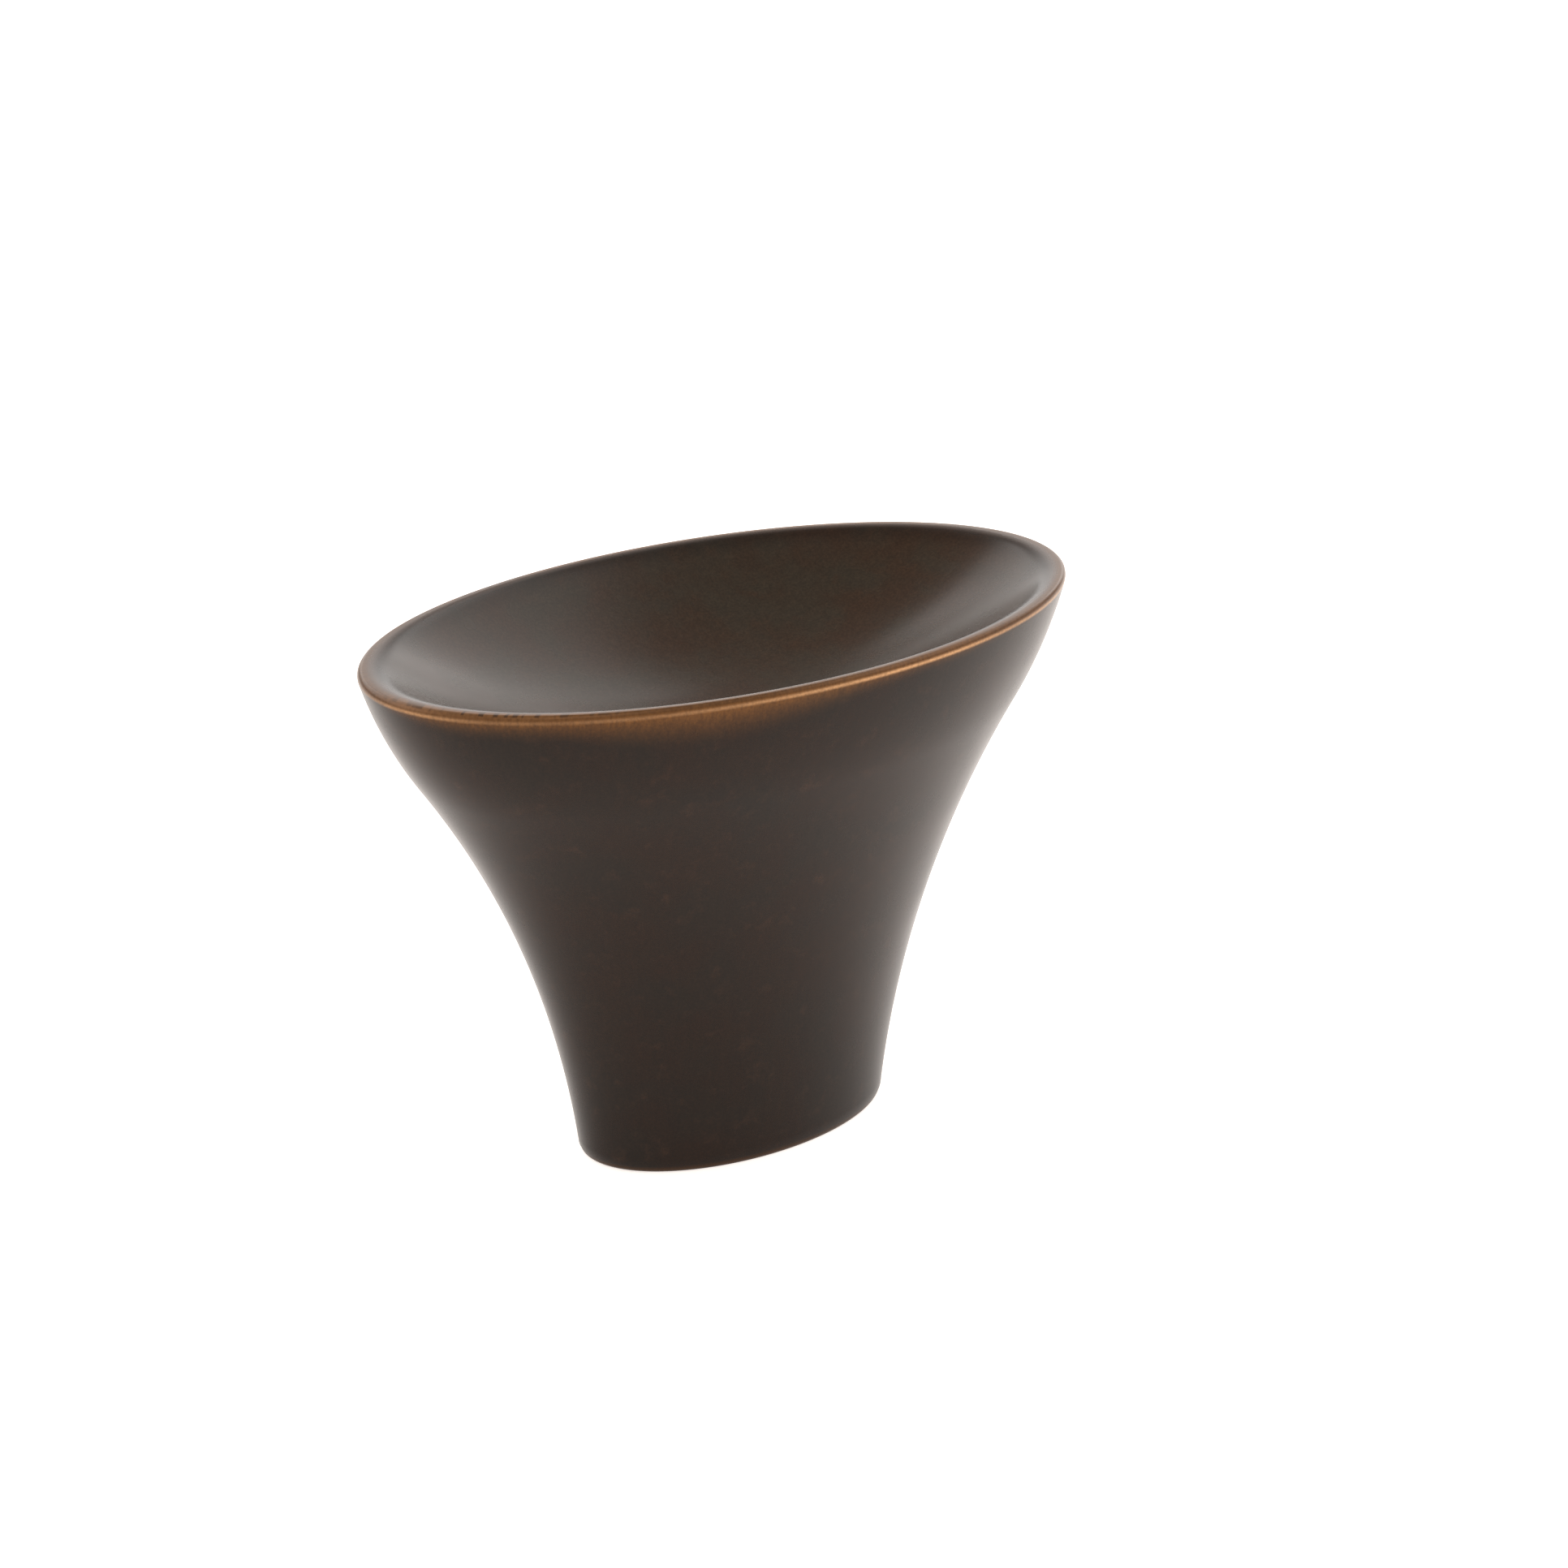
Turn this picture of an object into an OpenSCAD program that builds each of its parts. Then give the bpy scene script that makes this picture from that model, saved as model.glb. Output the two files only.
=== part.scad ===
// Oval cabinet knob: a solid casting with a dished top and flared walls,
// held on a drawer front or door by one machine screw from behind.
// Origin: centre of the base face, which sits on the front of the panel.
// +Z points out of the panel, and the knob's long axis lies along X.

/* [Knob body] */
// Height of the knob above the panel
knob_height = 30; // [26:0.5:36]
// Half of the long width where the wall meets the panel
base_half_length = 9.9; // [9:0.1:14]
// Short width divided by long width, the same at every height
aspect = 0.59; // [0.55:0.01:0.75]
// Lean of the wall from upright where it meets the panel, in degrees
base_lean = 7.2; // [0:0.2:12]
// Radius of the hollow curve that the wall flares out on
flare_radius = 51; // [44:1:80]
// Share of the height at which the wall starts to stand up again
turn_height_share = 0.78; // [0.7:0.01:0.85]
// Radius of the curve that stands the wall up towards the rim
stand_up_radius = 22.5; // [20:0.5:40]
// Rounding of the bottom edge
base_edge_radius = 0.4; // [0.2:0.1:0.8]

/* [Rim and dish] */
// Depth of the dish below the rim
dish_depth = 6; // [4.5:0.5:9]
// Width of the level land on top of the rim, between its two roundings
rim_land = 0.2; // [0.1:0.05:1]
// Rounding of the rim's outer edge
rim_outer_radius = 0.35; // [0.2:0.05:0.6]
// Rounding from the rim's land into the dish
rim_inner_radius = 2.5; // [0.5:0.1:4]

/* [Screw hole] */
// Radius of the screw hole at its tapping drill
hole_radius = 1.73; // [1.72:0.01:1.75]
// Depth of the screw hole's straight wall
hole_depth = 12.7; // [10:0.1:14]
// Angle of the drill point at the bottom of the hole, in degrees
drill_point_angle = 118; // [100:2:140]
// Width of the chamfer around the mouth of the hole
hole_chamfer = 0.5; // [0.4:0.1:0.8]

/* [Mounting screw] */
// Thickness of the panel that the knob is fastened to
panel_thickness = 19.05; // [15:0.05:22]
// Length of the screw under its head
screw_length = 25.4; // [23.5:0.1:26.5]
// Radius of the screw over its thread
thread_radius = 2.083; // [2:0.001:2.1]
// Radius of the stretch inside the knob, at the root of its thread
root_radius = 1.65; // [1.6:0.01:1.66]
// Width of the chamfer at the tip of the screw
tip_chamfer = 0.5; // [0.3:0.1:0.8]
// Diameter of the screw's head
head_diameter = 9.5; // [8:0.1:11]
// Height of the screw's head
head_height = 2.4; // [2:0.1:3]
// Height of the upright edge of the screw's head
head_edge_height = 0.5; // [0.3:0.1:0.8]
// Width of each slot of the cross recess
recess_width = 1.2; // [1:0.05:1.6]
// Length of the cross recess over the head
recess_length = 4.8; // [4:0.1:5.5]
// Depth of the cross recess
recess_depth = 1.5; // [1:0.1:1.8]

/* [Hidden] */
$fn = 96;
BRONZE = [0.23, 0.19, 0.17];
ZINC = [0.74, 0.75, 0.77];
overshoot = 1;
knob_sides = 64;
big_steps = 12;
small_steps = 4;

// Points of an arc around centre c from angle a to angle b.
function arc(c, r, a, b, steps) =
    [for (i = [0 : steps]) let (t = a + (b - a) * i / steps) c + r * [cos(t), sin(t)]];

// All but the last point of a list.
function head_of(points) = [for (i = [0 : len(points) - 2]) points[i]];

// The outer wall, seen along the short axis: a hollow arc and a round one.
turn_height = turn_height_share * knob_height;
flare_centre = [
    base_half_length + flare_radius * cos(base_lean),
    -flare_radius * sin(base_lean)
];
turn_lean = asin((turn_height - flare_centre[1]) / flare_radius);
turn_point = flare_centre + flare_radius * [-cos(turn_lean), sin(turn_lean)];
stand_up_centre = turn_point + stand_up_radius * [-cos(turn_lean), sin(turn_lean)];

// The rounding of the rim's outer edge, which touches the wall from inside.
outer_centre_z = knob_height - rim_outer_radius;
outer_touch_angle = asin(
    (outer_centre_z - stand_up_centre[1]) / (stand_up_radius - rim_outer_radius)
);
outer_centre = stand_up_centre
    + (stand_up_radius - rim_outer_radius) * [cos(outer_touch_angle), sin(outer_touch_angle)];

// The rounding from the land into the dish, whose arc has its lowest point on the axis.
inner_centre = [outer_centre[0] - rim_land, knob_height - rim_inner_radius];
dish_bottom = knob_height - dish_depth;
inner_rise = inner_centre[1] - dish_bottom;
dish_radius = (pow(inner_centre[0], 2) + pow(inner_rise, 2) - pow(rim_inner_radius, 2))
    / (2 * (inner_rise + rim_inner_radius));
dish_centre = [0, dish_bottom + dish_radius];
dish_edge_angle = atan2(inner_centre[1] - dish_centre[1], inner_centre[0]);

// The rounding of the bottom edge, which ends on the base face.
base_foot = base_half_length - base_edge_radius;

wall_outline = concat(
    [[0, -overshoot], [base_foot, -overshoot]],
    head_of(arc([base_foot, base_edge_radius], base_edge_radius, -90, -base_lean, small_steps)),
    head_of(arc(flare_centre, flare_radius, 180 - base_lean, 180 - turn_lean, big_steps)),
    [turn_point]
);
rim_outline = concat(
    head_of(arc(stand_up_centre, stand_up_radius, -turn_lean, outer_touch_angle, big_steps)),
    head_of(arc(outer_centre, rim_outer_radius, outer_touch_angle, 0, 1)),
    arc(outer_centre, rim_outer_radius, 0, 90, small_steps),
    head_of(arc(inner_centre, rim_inner_radius, 90, 180 + dish_edge_angle, small_steps)),
    arc(dish_centre, dish_radius, dish_edge_angle, -90, big_steps)
);

knob_outline = concat(head_of(wall_outline), rim_outline);
rim_half_length = outer_centre[0] + rim_outer_radius;

// The screw, seen from the side: its head's bearing face is on the panel's back.
bearing_z = -panel_thickness;
tip_z = screw_length - panel_thickness;
head_radius = head_diameter / 2;
dome_height = head_height - head_edge_height;
dome_radius = (pow(head_radius, 2) + pow(dome_height, 2)) / (2 * dome_height);
dome_edge_angle = asin(head_radius / dome_radius);
dome_centre = [0, bearing_z - head_height + dome_radius];

head_outline = concat(
    [[0, bearing_z], [head_radius, bearing_z]],
    arc(dome_centre, dome_radius, dome_edge_angle - 90, -90, big_steps)
);
core_outline = [
    [0, -overshoot],
    [root_radius, -overshoot],
    [root_radius, tip_z - tip_chamfer],
    [root_radius - tip_chamfer, tip_z],
    [0, tip_z]
];

// The outline turned about the axis, then narrowed to an oval.
module solid_knob() {
    resize([0, 2 * aspect * rim_half_length, 0])
        rotate_extrude($fn = knob_sides)
            polygon(knob_outline);
}

module below_the_base() {
    side = 4 * base_half_length;
    translate([-side / 2, -side / 2, -2 * overshoot])
        cube([side, side, 2 * overshoot]);
}

module screw_hole() {
    point_height = hole_radius / tan(drill_point_angle / 2);
    mouth_radius = hole_radius + hole_chamfer;
    translate([0, 0, -overshoot])
        cylinder(h = hole_depth + overshoot, r = hole_radius);
    translate([0, 0, hole_depth])
        cylinder(h = point_height, r1 = hole_radius, r2 = 0);
    translate([0, 0, -overshoot])
        cylinder(h = overshoot + hole_chamfer, r1 = mouth_radius + overshoot, r2 = hole_radius);
}

module knob_casting() {
    color(BRONZE)
        difference() {
            solid_knob();
            below_the_base();
            screw_hole();
        }
}

module cross_recess() {
    for (turn = [0, 90])
        rotate([0, 0, turn])
            translate([-recess_length / 2, -recess_width / 2, bearing_z - head_height - overshoot])
                cube([recess_length, recess_width, recess_depth + overshoot]);
}

module mounting_screw() {
    color(ZINC)
        difference() {
            union() {
                rotate_extrude()
                    polygon(head_outline);
                translate([0, 0, bearing_z - head_edge_height])
                    cylinder(h = panel_thickness + head_edge_height, r = thread_radius);
                rotate_extrude()
                    polygon(core_outline);
            }
            cross_recess();
        }
}

knob_casting();
mounting_screw();
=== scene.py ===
"""Oval cabinet knob in dark rubbed bronze, with its mounting screw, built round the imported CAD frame."""
import math

import bmesh
import bpy
from mathutils import Matrix, Quaternion, Vector, noise


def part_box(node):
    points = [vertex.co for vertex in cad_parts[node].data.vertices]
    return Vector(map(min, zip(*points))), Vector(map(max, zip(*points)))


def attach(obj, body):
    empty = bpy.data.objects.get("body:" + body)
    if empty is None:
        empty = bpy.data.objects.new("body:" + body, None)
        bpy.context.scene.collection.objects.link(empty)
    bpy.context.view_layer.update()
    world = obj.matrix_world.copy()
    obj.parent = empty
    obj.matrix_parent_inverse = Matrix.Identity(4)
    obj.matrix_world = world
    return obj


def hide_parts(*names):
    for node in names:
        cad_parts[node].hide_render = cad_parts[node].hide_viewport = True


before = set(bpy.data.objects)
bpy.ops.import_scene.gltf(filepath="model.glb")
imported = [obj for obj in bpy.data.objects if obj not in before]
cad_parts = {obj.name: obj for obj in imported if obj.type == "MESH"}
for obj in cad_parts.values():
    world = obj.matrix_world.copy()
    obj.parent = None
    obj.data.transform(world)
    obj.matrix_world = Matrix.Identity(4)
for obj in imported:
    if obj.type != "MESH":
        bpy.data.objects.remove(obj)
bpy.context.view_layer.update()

MM = 0.001

# ---------------------------------------------------------------- sizes, in metres
KNOB_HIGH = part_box("knob_casting")[1]
SCREW_LOW, SCREW_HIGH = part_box("mounting_screw")
KNOB_HEIGHT = KNOB_HIGH.z
MIDDLE = Vector((0, 0, KNOB_HEIGHT / 2))
ASPECT = KNOB_HIGH.y / KNOB_HIGH.x

# The wall and the rim, with the CAD model's own dimensions.
BASE_HALF_LENGTH = 9.9 * MM
BASE_LEAN = math.radians(7.2)
FLARE_RADIUS = 51 * MM
TURN_HEIGHT_SHARE = 0.78
STAND_UP_RADIUS = 22.5 * MM
BASE_EDGE_RADIUS = 0.4 * MM
DISH_DEPTH = 6 * MM
RIM_LAND = 0.2 * MM
RIM_OUTER_RADIUS = 0.35 * MM
RIM_INNER_RADIUS = 2.5 * MM

# The #8-32 thread, its hole and its screw.
PITCH = 25.4 * MM / 32
THREAD_RADIUS = 2.083 * MM
THREAD_ROOT_RADIUS = 1.626 * MM
HOLE_RADIUS = 1.73 * MM
HOLE_DEPTH = 12.7 * MM
HOLE_CHAMFER = 0.5 * MM
DRILL_POINT_ANGLE = math.radians(118)
THREAD_PLAY = 0.03 * MM
PANEL_THICKNESS = 19.05 * MM
HEAD_RADIUS = SCREW_HIGH.x
HEAD_HEIGHT = -PANEL_THICKNESS - SCREW_LOW.z
TIP_Z = SCREW_HIGH.z
TIP_RADIUS = 1.5 * MM
TIP_SLOPE = 1.2
NECK_RADIUS = 1.83 * MM

# How finely the meshes follow the shapes: columns round them, and steps along their outlines.
KNOB_COLUMNS = 192
SCREW_COLUMNS = 64
LONG_STEP = 0.45 * MM
SHORT_STEP = 0.25 * MM
LIP_STEP = 0.15 * MM
FOOT_STEP = 0.09 * MM
EDGE_STEP = 0.05 * MM
HEAD_STEP = 0.3 * MM
MERGE_DISTANCE = 1e-7

# The signs of a square's corners, anticlockwise.
CORNERS = ((-1, -1), (1, -1), (1, 1), (-1, 1))


# ---------------------------------------------------------------- outlines
def arc(centre, radius, start, end, step):
    """Points of an arc in a half plane, about one step apart, with angles in radians."""
    count = max(2, math.ceil(abs(end - start) * radius / step))
    angles = [start + (end - start) * i / count for i in range(count + 1)]
    return [(centre[0] + radius * math.cos(a), centre[1] + radius * math.sin(a)) for a in angles]


def knob_outline():
    """The casting's outline from its foot, up the wall, over the rim and down to the dish's lowest point.

    Returns the points and the index of the one on the rim's outer edge."""
    flare = (BASE_HALF_LENGTH + FLARE_RADIUS * math.cos(BASE_LEAN), -FLARE_RADIUS * math.sin(BASE_LEAN))
    turn_lean = math.asin((TURN_HEIGHT_SHARE * KNOB_HEIGHT - flare[1]) / FLARE_RADIUS)
    reach = FLARE_RADIUS + STAND_UP_RADIUS
    stand_up = (flare[0] - reach * math.cos(turn_lean), flare[1] + reach * math.sin(turn_lean))
    inside = STAND_UP_RADIUS - RIM_OUTER_RADIUS
    touch = math.asin((KNOB_HEIGHT - RIM_OUTER_RADIUS - stand_up[1]) / inside)
    outer = (stand_up[0] + inside * math.cos(touch), KNOB_HEIGHT - RIM_OUTER_RADIUS)
    inner = (outer[0] - RIM_LAND, KNOB_HEIGHT - RIM_INNER_RADIUS)
    bottom = KNOB_HEIGHT - DISH_DEPTH
    rise = inner[1] - bottom
    dish_radius = (inner[0] ** 2 + rise**2 - RIM_INNER_RADIUS**2) / (2 * (rise + RIM_INNER_RADIUS))
    dish = (0.0, bottom + dish_radius)
    dish_edge = math.atan2(inner[1] - dish[1], inner[0])
    foot = (BASE_HALF_LENGTH - BASE_EDGE_RADIUS, BASE_EDGE_RADIUS)
    quarter = math.pi / 2
    stretches = [
        arc(foot, BASE_EDGE_RADIUS, -quarter, -BASE_LEAN, FOOT_STEP),
        arc(flare, FLARE_RADIUS, math.pi - BASE_LEAN, math.pi - turn_lean, LONG_STEP),
        arc(stand_up, STAND_UP_RADIUS, -turn_lean, touch, SHORT_STEP),
        arc(outer, RIM_OUTER_RADIUS, touch, quarter / 2, EDGE_STEP),
    ]
    edge_index = sum(len(stretch) - 1 for stretch in stretches)
    stretches += [
        arc(outer, RIM_OUTER_RADIUS, quarter / 2, quarter, EDGE_STEP),
        arc(inner, RIM_INNER_RADIUS, quarter, math.pi + dish_edge, LIP_STEP),
        arc(dish, dish_radius, dish_edge, -quarter, LONG_STEP),
    ]
    points = stretches[0]
    for stretch in stretches[1:]:
        points = points + stretch[1:]
    return points, edge_index


# ---------------------------------------------------------------- meshes
def turned_row(radius, z, columns, aspect=1.0):
    """One ring of points, with its first point repeated at the end."""
    turns = [math.tau * i / columns for i in range(columns + 1)]
    return [Vector((radius * math.cos(t), aspect * radius * math.sin(t), z)) for t in turns]


def grid_mesh(name, rows, tags=None):
    """A closed mesh through rows of points: neighbouring points that coincide are merged.

    tags gives each row's value of the float attribute rim_distance, in millimetres."""
    shell = bmesh.new()
    layer = shell.verts.layers.float.new("rim_distance")
    made = []
    for number, row in enumerate(rows):
        ring = [shell.verts.new(p) for p in row]
        for vertex in ring:
            vertex[layer] = tags[number] if tags else 0.0
        made.append(ring)
    for low, high in zip(made, made[1:]):
        for i in range(len(low) - 1):
            shell.faces.new((low[i], low[i + 1], high[i + 1], high[i]))
    bmesh.ops.remove_doubles(shell, verts=shell.verts, dist=MERGE_DISTANCE)
    bmesh.ops.dissolve_degenerate(shell, edges=shell.edges, dist=MERGE_DISTANCE)
    bmesh.ops.recalc_face_normals(shell, faces=shell.faces)
    for face in shell.faces:
        face.smooth = True
    mesh = bpy.data.meshes.new(name)
    shell.to_mesh(mesh)
    shell.free()
    return mesh


def smooth_step(x):
    x = min(1.0, max(0.0, x))
    return x * x * (3 - 2 * x)


def thread_rows(low, high, columns, shape):
    """Rows that follow a right-hand helix between two heights.

    shape(radius, z) turns the bare thread's radius into the surface's own."""
    profile = [
        (0.0, THREAD_ROOT_RADIUS),
        (0.25, THREAD_ROOT_RADIUS),
        (0.5625, THREAD_RADIUS),
        (0.6875, THREAD_RADIUS),
    ]
    first = math.floor(low / PITCH) - 1
    last = math.ceil(high / PITCH) + 1
    rows = []
    for turn in range(first, last + 1):
        for share, radius in profile:
            row = []
            for i in range(columns + 1):
                z = min(high, max(low, (turn + share + i / columns) * PITCH))
                angle = math.tau * i / columns
                r = shape(radius, z)
                row.append(Vector((r * math.cos(angle), r * math.sin(angle), z)))
            rows.append(row)
    return rows


def hole_surface(radius, z):
    """The tapped hole: the screw's thread with a little play, cut off at the tapping drill's radius."""
    tapped = max(HOLE_RADIUS, radius + THREAD_PLAY)
    run_out = smooth_step((HOLE_DEPTH - z) / (2 * PITCH))
    mouth = HOLE_RADIUS + HOLE_CHAMFER - z
    return max(HOLE_RADIUS + (tapped - HOLE_RADIUS) * run_out, mouth)


def screw_surface(radius, z):
    """The screw's thread, run out under the head and chamfered at the tip."""
    run_out = smooth_step((z + PANEL_THICKNESS) / (1.5 * PITCH))
    chamfer = TIP_RADIUS + (TIP_Z - z) * TIP_SLOPE
    return min(NECK_RADIUS + (radius - NECK_RADIUS) * run_out, chamfer)


def knob_mesh():
    points, edge_index = knob_outline()
    distances = [0.0]
    for a, b in zip(points, points[1:]):
        distances.append(distances[-1] + math.dist(a, b) / MM)
    edge = distances[edge_index]
    columns = KNOB_COLUMNS
    point_height = HOLE_RADIUS / math.tan(DRILL_POINT_ANGLE / 2)
    far = -2 * edge
    rows = [turned_row(0.0, HOLE_DEPTH + point_height, columns)]
    rows += list(reversed(thread_rows(0.0, HOLE_DEPTH, columns, hole_surface)))
    mouth = rows[-1]
    foot = turned_row(points[0][0], points[0][1], columns, ASPECT)
    for share in (0.3, 0.7):
        rows.append([a.lerp(b, share) for a, b in zip(mouth, foot)])
    tags = [far] * len(rows)
    for (radius, z), distance in zip(points, distances):
        rows.append(turned_row(radius, z, columns, ASPECT))
        tags.append(distance - edge)
    return grid_mesh("knob_casting_surface", rows, tags)


def screw_mesh():
    columns = SCREW_COLUMNS
    edge = 0.15 * MM
    rim_height = 0.5 * MM
    dome = HEAD_HEIGHT - rim_height
    dome_radius = (HEAD_RADIUS**2 + dome**2) / (2 * dome)
    dome_centre = (0.0, SCREW_LOW.z + dome_radius)
    half_angle = math.asin((HEAD_RADIUS - edge * 0.6) / dome_radius)
    bearing = -PANEL_THICKNESS
    quarter = math.pi / 2
    outline = arc(dome_centre, dome_radius, -quarter, half_angle - quarter, HEAD_STEP)
    outline += [
        (HEAD_RADIUS, bearing - rim_height + edge * 0.4),
        (HEAD_RADIUS, bearing - edge),
        (HEAD_RADIUS - edge * 0.3, bearing - edge * 0.3),
        (HEAD_RADIUS - edge, bearing),
    ]
    rows = [turned_row(r, z, columns) for r, z in outline]
    rows += thread_rows(bearing, TIP_Z, columns, screw_surface)
    rows.append(turned_row(0.0, TIP_Z, columns))
    return grid_mesh("mounting_screw_surface", rows)


def cross_cutter():
    """A tapered cross that cuts the screw's recess."""
    half_length, half_width, depth = 2.4 * MM, 0.6 * MM, 1.5 * MM
    length_taper, width_taper, above = 0.45, 0.75, 1 * MM
    cutter = bmesh.new()
    face_z = SCREW_LOW.z
    for turn in (0, 1):
        top = []
        bottom = []
        for sx, sy in CORNERS:
            wide = Vector((sx * half_length, sy * half_width, face_z - above))
            narrow = Vector((sx * half_length * length_taper, sy * half_width * width_taper, face_z + depth))
            spin = Matrix.Rotation(turn * math.pi / 2, 3, "Z")
            top.append(cutter.verts.new(spin @ wide))
            bottom.append(cutter.verts.new(spin @ narrow))
        cutter.faces.new(top)
        cutter.faces.new(bottom[::-1])
        for i in range(4):
            j = (i + 1) % 4
            cutter.faces.new((top[j], top[i], bottom[i], bottom[j]))
    bmesh.ops.recalc_face_normals(cutter, faces=cutter.faces)
    mesh = bpy.data.meshes.new("recess_cutter")
    cutter.to_mesh(mesh)
    cutter.free()
    return mesh


def add_object(name, mesh):
    piece = bpy.data.objects.new(name, mesh)
    bpy.context.scene.collection.objects.link(piece)
    return piece


# ---------------------------------------------------------------- shader helpers
def new_material(name):
    """A material with an empty node tree that holds only its output and a Principled shader."""
    material = bpy.data.materials.new(name)
    material.use_nodes = True
    tree = material.node_tree
    tree.nodes.clear()
    output = tree.nodes.new("ShaderNodeOutputMaterial")
    shader = tree.nodes.new("ShaderNodeBsdfPrincipled")
    tree.links.new(shader.outputs["BSDF"], output.inputs["Surface"])
    return material, tree, shader


def put(tree, value, socket):
    """Sets a socket to a number, or joins another node's output to it."""
    if isinstance(value, bpy.types.NodeSocket):
        tree.links.new(value, socket)
    else:
        socket.default_value = value


def math_node(tree, operation, a, b=0.0, clamp=False):
    made = tree.nodes.new("ShaderNodeMath")
    made.operation = operation
    made.use_clamp = clamp
    put(tree, a, made.inputs[0])
    put(tree, b, made.inputs[1])
    return made.outputs[0]


def product(tree, first, *others):
    """The product of sockets and numbers, from left to right."""
    for value in others:
        first = math_node(tree, "MULTIPLY", first, value)
    return first


def mix_colour(tree, factor, a, b, blend="MIX"):
    made = tree.nodes.new("ShaderNodeMix")
    made.data_type = "RGBA"
    made.blend_type = blend
    put(tree, factor, made.inputs["Factor"])
    put(tree, a, made.inputs[6])
    put(tree, b, made.inputs[7])
    return made.outputs[2]


def steps(tree, value, low, high, out_low=0.0, out_high=1.0):
    """A smooth change from out_low to out_high as value goes from low to high."""
    made = tree.nodes.new("ShaderNodeMapRange")
    made.interpolation_type = "SMOOTHSTEP"
    put(tree, value, made.inputs["Value"])
    put(tree, low, made.inputs["From Min"])
    put(tree, high, made.inputs["From Max"])
    put(tree, out_low, made.inputs["To Min"])
    put(tree, out_high, made.inputs["To Max"])
    return made.outputs["Result"]


def between(tree, value, rise, fall):
    """1 between two smooth changes: up over rise, and down over fall."""
    return product(tree, steps(tree, value, *rise), steps(tree, value, fall[1], fall[0]))


def position_mm(tree, stretch=(1.0, 1.0, 1.0), turn=0.0):
    """The surface point in millimetres in the object's own frame, turned about Z by degrees, then scaled."""
    coordinates = tree.nodes.new("ShaderNodeTexCoord")
    mapping = tree.nodes.new("ShaderNodeMapping")
    mapping.vector_type = "TEXTURE"
    mapping.inputs["Rotation"].default_value = (0.0, 0.0, math.radians(turn))
    mapping.inputs["Scale"].default_value = [MM / s for s in stretch]
    tree.links.new(coordinates.outputs["Object"], mapping.inputs["Vector"])
    return mapping.outputs["Vector"]


def noise_node(tree, vector, scale, detail=3.0, roughness=0.5):
    """A noise between 0 and 1 with about scale features a millimetre."""
    made = tree.nodes.new("ShaderNodeTexNoise")
    tree.links.new(vector, made.inputs["Vector"])
    made.inputs["Scale"].default_value = scale
    made.inputs["Detail"].default_value = detail
    made.inputs["Roughness"].default_value = roughness
    return made.outputs["Fac"]


def attribute(tree, name):
    made = tree.nodes.new("ShaderNodeAttribute")
    made.attribute_name = name
    return made.outputs["Fac"]


def bump(tree, shader, layers):
    """Chains bump nodes; layers are (height, strength, distance in mm)."""
    normal = None
    for height, strength, distance in layers:
        made = tree.nodes.new("ShaderNodeBump")
        made.inputs["Strength"].default_value = strength
        made.inputs["Distance"].default_value = distance * MM
        tree.links.new(height, made.inputs["Height"])
        if normal is not None:
            tree.links.new(normal, made.inputs["Normal"])
        normal = made.outputs["Normal"]
    tree.links.new(normal, shader.inputs["Normal"])


# ---------------------------------------------------------------- materials
WALL_BROWN = (0.0140, 0.0054, 0.0018, 1.0)
WALL_GREY = (0.0112, 0.0060, 0.0030, 1.0)
# The dish's two colours are painted lighter than the wall's: painted light on the upward-facing top.
LIT_DISH_BROWN = (0.0390, 0.0200, 0.0105, 1.0)
LIT_DISH_OLIVE = (0.0350, 0.0245, 0.0150, 1.0)
RUST = (0.0480, 0.0200, 0.0090, 1.0)
COPPER_BROWN = (0.2050, 0.0820, 0.0190, 1.0)
COPPER_BRIGHT = (0.5100, 0.2900, 0.1450, 1.0)
MARK_DARK = (0.0450, 0.0220, 0.0100, 1.0)
TAN = (0.1650, 0.0830, 0.0400, 1.0)
# A greyish painted highlight for the lip's inner edge.
INNER_EDGE_HIGHLIGHT = (0.1200, 0.0850, 0.0700, 1.0)


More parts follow.
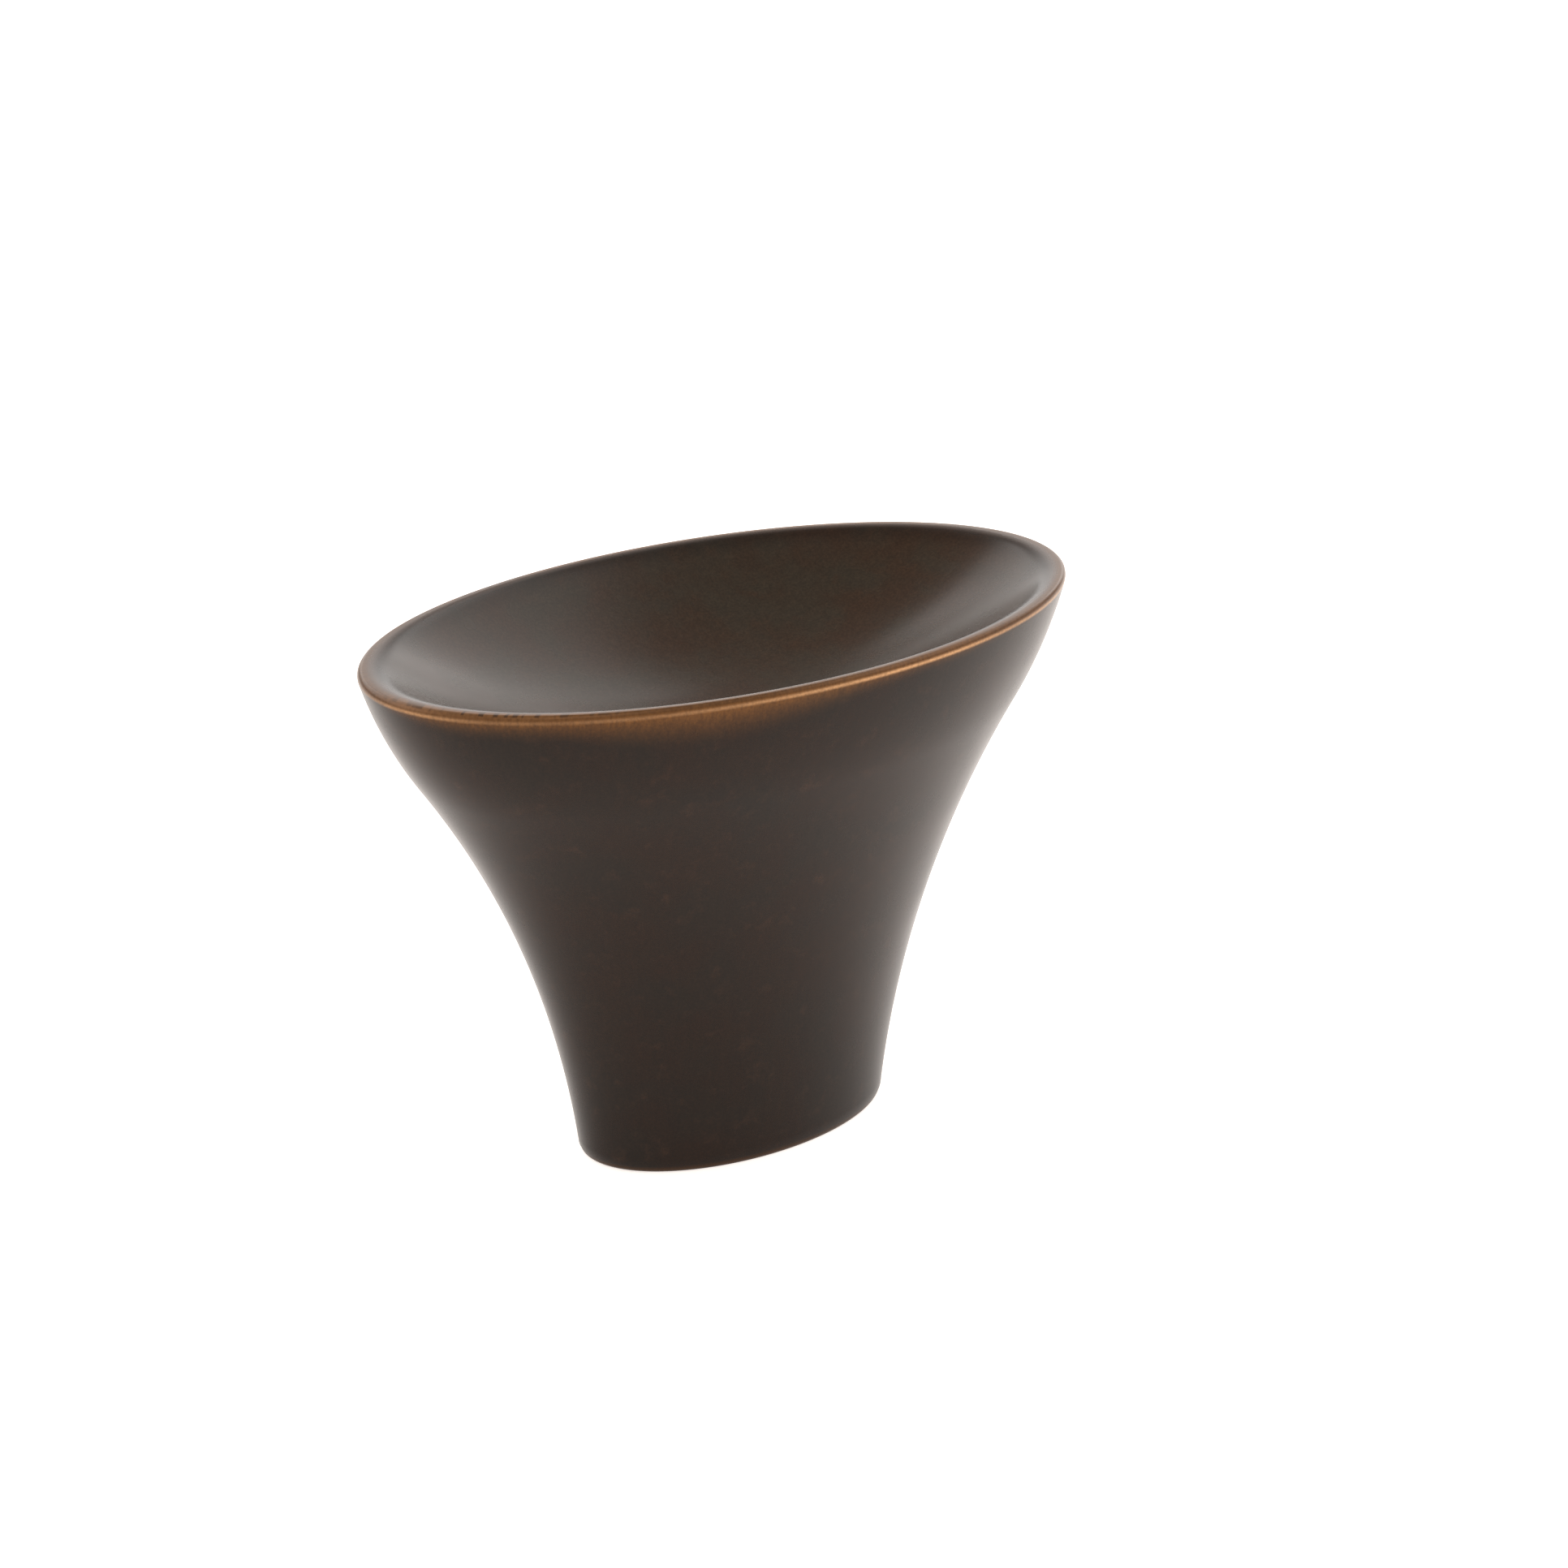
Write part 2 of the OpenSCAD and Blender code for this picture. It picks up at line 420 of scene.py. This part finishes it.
def rubbed_bronze():
    """Dark patina with a hand-rubbed rim: bright along the edge, and brown on its land and down the wall."""
    material, tree, shader = new_material("rubbed_bronze")
    here = position_mm(tree)
    cloud = noise_node(tree, here, 0.22, 4.0, 0.55)
    patch = noise_node(tree, here, 0.9, 4.0, 0.6)
    grain = noise_node(tree, here, 7.0, 2.0, 0.6)
    streak = noise_node(tree, position_mm(tree, (1.0, 1.0, 0.1)), 2.6, 3.0, 0.65)
    hair = noise_node(tree, position_mm(tree, (1.0, 1.0, 0.22)), 5.5, 2.0, 0.6)
    scratch = noise_node(tree, position_mm(tree, (2.4, 0.3, 0.3), 122), 1.0, 1.0, 0.5)

    # Distances in millimetres from the rim's outer edge: below 0 is down the outside.
    distance = attribute(tree, "rim_distance")
    below = math_node(tree, "MULTIPLY", distance, -1.0)
    in_dish = steps(tree, distance, 0.5, 3.0)

    # The patina: purple-brown on the wall and olive-brown in the dish, in clouds; the dish's colours are
    # painted about three times lighter, painted light on the upward-facing top over the same patina.
    wall = mix_colour(tree, steps(tree, cloud, 0.36, 0.66), WALL_BROWN, WALL_GREY)
    dish = mix_colour(tree, steps(tree, cloud, 0.36, 0.66), LIT_DISH_BROWN, LIT_DISH_OLIVE)
    patina = mix_colour(tree, in_dish, wall, dish)
    patina = mix_colour(tree, steps(tree, patch, 0.52, 0.80, 0.0, 0.35), patina, RUST)
    fine = steps(tree, grain, 0.30, 0.75, 0.82, 1.18)
    drawn = steps(tree, streak, 0.25, 0.75, 0.90, 1.10)
    for shade in (fine, drawn):
        patina = mix_colour(tree, 1.0, patina, shade, "MULTIPLY")

    # Down the wall the copper shows through as far as the hands have rubbed it.
    rub = attribute(tree, "rub")
    left = math_node(tree, "SUBTRACT", 1.0, math_node(tree, "DIVIDE", below, rub), clamp=True)
    glow = product(
        tree,
        math_node(tree, "POWER", left, 2.2),
        steps(tree, distance, 0.9, 0.3),
        steps(tree, rub, 0.50, 1.10, 0.28, 0.95),
        steps(tree, hair, 0.25, 0.75, 0.70, 1.10),
        steps(tree, grain, 0.25, 0.75, 0.80, 1.10),
    )
    worn = mix_colour(tree, glow, patina, COPPER_BROWN)

    # The land is darker, and tan at the two ends, with slanting file marks; a greyish painted highlight runs
    # along its inner edge.
    filed = attribute(tree, "marks")
    land = between(tree, distance, (-0.16, -0.04), (0.35, 0.50))
    land = product(tree, land, steps(tree, filed, 0.0, 1.0, 0.5, 0.1))
    worn = mix_colour(tree, land, worn, MARK_DARK)
    tan = product(tree, attribute(tree, "tan"), 0.8)
    tan = product(tree, between(tree, distance, (-0.32, -0.16), (0.20, 0.95)), tan)
    tan = product(tree, tan, steps(tree, hair, 0.25, 0.70, 0.55, 1.0))
    worn = mix_colour(tree, tan, worn, TAN)
    marks = product(tree, steps(tree, scratch, 0.49, 0.57, 0.0, 0.85), filed)
    marks = product(tree, marks, between(tree, distance, (-0.02, 0.10), (0.55, 0.85)))
    worn = mix_colour(tree, marks, worn, MARK_DARK)
    # A painted highlight along the lip's inner rounding, at half strength.
    inner = product(tree, between(tree, distance, (0.35, 0.70), (0.75, 1.30)), 0.5)
    worn = mix_colour(tree, inner, worn, INNER_EDGE_HIGHLIGHT)

    # The bright line just under the outer edge, and a trace of copper at the foot.
    line = between(tree, distance, (-0.46, -0.28), (-0.28, -0.12))
    line = product(tree, line, attribute(tree, "bright"), steps(tree, grain, 0.25, 0.65, 0.65, 1.0))
    height = tree.nodes.new("ShaderNodeSeparateXYZ")
    tree.links.new(here, height.inputs[0])
    foot = steps(tree, height.outputs["Z"], 0.45, 0.20, 0.0, 0.15)
    colour = mix_colour(tree, foot, mix_colour(tree, line, worn, COPPER_BRIGHT), COPPER_BROWN)
    tree.links.new(colour, shader.inputs["Base Color"])

    bare = math_node(tree, "MAXIMUM", product(tree, glow, 0.3), line)
    tree.links.new(bare, shader.inputs["Metallic"])
    rough = steps(tree, cloud, 0.3, 0.7, 0.25, 0.29)
    rough = math_node(tree, "ADD", rough, product(tree, glow, 0.12))
    tree.links.new(rough, shader.inputs["Roughness"])
    shader.inputs["Specular IOR Level"].default_value = 0.17
    bump(tree, shader, [(cloud, 0.06, 0.04), (hair, 0.05, 0.005), (grain, 0.04, 0.004)])
    return material


def zinc_plate():
    """Bright zinc over steel, a little blue."""
    material, tree, shader = new_material("zinc_plate")
    here = position_mm(tree)
    cloud = noise_node(tree, here, 0.8, 4.0, 0.6)
    grain = noise_node(tree, here, 9.0, 3.0, 0.6)
    pale = (0.62, 0.64, 0.67, 1.0)
    dull = (0.46, 0.46, 0.45, 1.0)
    colour = mix_colour(tree, steps(tree, cloud, 0.4, 0.75), pale, dull)
    tree.links.new(colour, shader.inputs["Base Color"])
    shader.inputs["Metallic"].default_value = 1.0
    tree.links.new(steps(tree, grain, 0.3, 0.7, 0.22, 0.36), shader.inputs["Roughness"])
    bump(tree, shader, [(cloud, 0.2, 0.02), (grain, 0.25, 0.004)])
    return material


# ---------------------------------------------------------------- the pieces
# Where the wear swells round the rim: each is (middle, width, height), with the first two in degrees.
# Degrees start at +X, and 270 is the front.
RUB_REACH = [(243, 24, 2.3), (201, 18, 0.9), (290, 22, 0.4), (62, 30, 1.2)]
EDGE_SHINE = [(276, 31, 0.80), (318, 18, 0.36), (188, 15, 0.45), (85, 28, 0.45)]
FILE_MARKS = [(205, 26, 1.0), (110, 20, 0.7)]
TAN_LAND = [(180, 34, 0.45), (322, 30, 0.45), (75, 60, 0.25)]
LEAST_RUB = 0.2


def swell(turn, swellings):
    """The sum of smooth swellings at one place round the rim."""
    total = 0.0
    for middle, width, height in swellings:
        away = (turn - middle + 180) % 360 - 180
        total += height * math.exp(-((away / width) ** 2))
    return total


def set_wear(mesh):
    """How the finish has worn at each place round the rim: how many millimetres the rubbing reaches down the
    wall, how bright the edge is, how many file marks the land keeps, and how tan its inner side is."""
    rub, bright, marks, tan = [], [], [], []
    for vertex in mesh.vertices:
        angle = math.atan2(vertex.co.y / ASPECT, vertex.co.x)
        turn = math.degrees(angle)
        drift = noise.noise(Vector((5.0 * math.cos(angle), 5.0 * math.sin(angle), 2.0)))
        rub.append(max(LEAST_RUB, 0.55 + swell(turn, RUB_REACH) + 0.2 * drift))
        bright.append(max(0.0, min(1.0, 0.14 + swell(turn, EDGE_SHINE) + 0.12 * drift)))
        marks.append(min(1.0, swell(turn, FILE_MARKS)))
        tan.append(0.35 + swell(turn, TAN_LAND) + 0.1 * drift)
    for name, values in (("rub", rub), ("bright", bright), ("marks", marks), ("tan", tan)):
        mesh.attributes.new(name, "FLOAT", "POINT").data.foreach_set("value", values)


def build_knob():
    mesh = knob_mesh()
    set_wear(mesh)
    mesh.set_sharp_from_angle(angle=math.radians(35))
    mesh.materials.append(rubbed_bronze())
    knob = add_object("oval_knob", mesh)
    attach(knob, "knob")
    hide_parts("knob_casting")
    return knob


def build_screw():
    mesh = screw_mesh()
    screw = add_object("knob_screw", mesh)
    cutter = add_object("recess_cutter", cross_cutter())
    cut = screw.modifiers.new("recess", "BOOLEAN")
    cut.operation = "DIFFERENCE"
    cut.solver = "EXACT"
    cut.use_self = True
    cut.object = cutter
    bpy.context.view_layer.update()
    shown = screw.evaluated_get(bpy.context.evaluated_depsgraph_get())
    recessed = bpy.data.meshes.new_from_object(shown)
    screw.modifiers.clear()
    screw.data = recessed
    bpy.data.objects.remove(cutter)
    recessed.set_sharp_from_angle(angle=math.radians(30))
    recessed.materials.clear()
    recessed.materials.append(zinc_plate())
    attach(screw, "screw")
    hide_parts("mounting_screw")
    return screw


# ---------------------------------------------------------------- the studio
FLOOR_GLOW = 0.80
FLOOR_GLOW_FAR = 1.04
FLOOR_WHITE = (1.0, 0.942, 0.900)
WARM_WHITE = (1.0, 0.972, 0.945)
FLOOR_HALF = 3.0


def pale_floor():
    """A white floor that is lit a little more strongly away from the knob."""
    material, tree, shader = new_material("pale_floor")
    shader.inputs["Base Color"].default_value = (*(0.6 * c for c in FLOOR_WHITE), 1.0)
    shader.inputs["Roughness"].default_value = 0.7
    shader.inputs["Specular IOR Level"].default_value = 0.2
    shader.inputs["Emission Color"].default_value = (*FLOOR_WHITE, 1.0)
    away = tree.nodes.new("ShaderNodeVectorMath")
    away.operation = "LENGTH"
    tree.links.new(position_mm(tree), away.inputs[0])
    glow = steps(tree, away.outputs["Value"], 8.0, 28.0, FLOOR_GLOW, FLOOR_GLOW_FAR)
    tree.links.new(glow, shader.inputs["Emission Strength"])
    return material


def build_floor():
    """The panel's front face, which the knob stands on."""
    mesh = bpy.data.meshes.new("floor")
    corners = [(sx * FLOOR_HALF, sy * FLOOR_HALF, 0) for sx, sy in CORNERS]
    mesh.from_pydata(corners, [], [(0, 1, 2, 3)])
    mesh.materials.append(pale_floor())
    floor = add_object("floor", mesh)


def build_world():
    world = bpy.data.worlds.new("studio")
    bpy.context.scene.world = world
    world.use_nodes = True
    background = world.node_tree.nodes["Background"]
    background.inputs["Color"].default_value = (*WARM_WHITE, 1.0)
    background.inputs["Strength"].default_value = 0.5


def direction(azimuth, elevation):
    """The way out from the knob, in degrees: azimuth 0 is its front, along -Y, and 90 is its +X side."""
    a, e = math.radians(azimuth), math.radians(elevation)
    return Vector((math.sin(a) * math.cos(e), -math.cos(a) * math.cos(e), math.sin(e)))


def add_softbox(name, azimuth, elevation, distance, size, power):
    """An area light that faces the knob."""
    data = bpy.data.lights.new(name, "AREA")
    data.shape = "RECTANGLE"
    data.size, data.size_y = size
    data.energy = power
    data.color = WARM_WHITE
    away = direction(azimuth, elevation)
    light = bpy.data.objects.new(name, data)
    light.location = MIDDLE + away * distance
    light.rotation_mode = "QUATERNION"
    light.rotation_quaternion = away.to_track_quat("Z", "Y")
    bpy.context.scene.collection.objects.link(light)
    return light


def build_lights():
    add_softbox("left_softbox", 205, 36, 0.5, (0.84, 0.32), 2.0)
    add_softbox("right_softbox", 80, 36, 0.5, (0.84, 0.32), 1.9)
    add_softbox("back_softbox", 136, 14, 0.8, (0.76, 0.36), 1.3)
    add_softbox("front_softbox", -30, 62, 0.5, (0.3, 0.3), 0.40)


# The camera stands where the photograph's did, by the knob's own proportions.
CAMERA_AZIMUTH = -38.3
CAMERA_ELEVATION = 21.22
CAMERA_DISTANCE = 220.6 * MM
CAMERA_ROLL = 0.6
CAMERA_LENS = 90.93
AIM_RIGHT = 3.18 * MM
AIM_UP = 4.66 * MM


def build_camera():
    away = direction(CAMERA_AZIMUTH, CAMERA_ELEVATION)
    right = (-away).cross(Vector((0, 0, 1))).normalized()
    up = right.cross(-away)
    data = bpy.data.cameras.new("camera")
    data.sensor_width = 36
    data.lens = CAMERA_LENS
    data.clip_start, data.clip_end = 0.01, 20
    camera = bpy.data.objects.new("camera", data)
    camera.location = MIDDLE + away * CAMERA_DISTANCE
    towards = MIDDLE + right * AIM_RIGHT + up * AIM_UP - camera.location
    camera.rotation_mode = "QUATERNION"
    roll = Quaternion((0, 0, 1), -math.radians(CAMERA_ROLL))
    camera.rotation_quaternion = towards.to_track_quat("-Z", "Y") @ roll
    bpy.context.scene.collection.objects.link(camera)
    bpy.context.scene.camera = camera


build_camera()
build_knob()
build_screw()
build_floor()
build_world()
build_lights()
bpy.context.scene.view_settings.view_transform = "Standard"
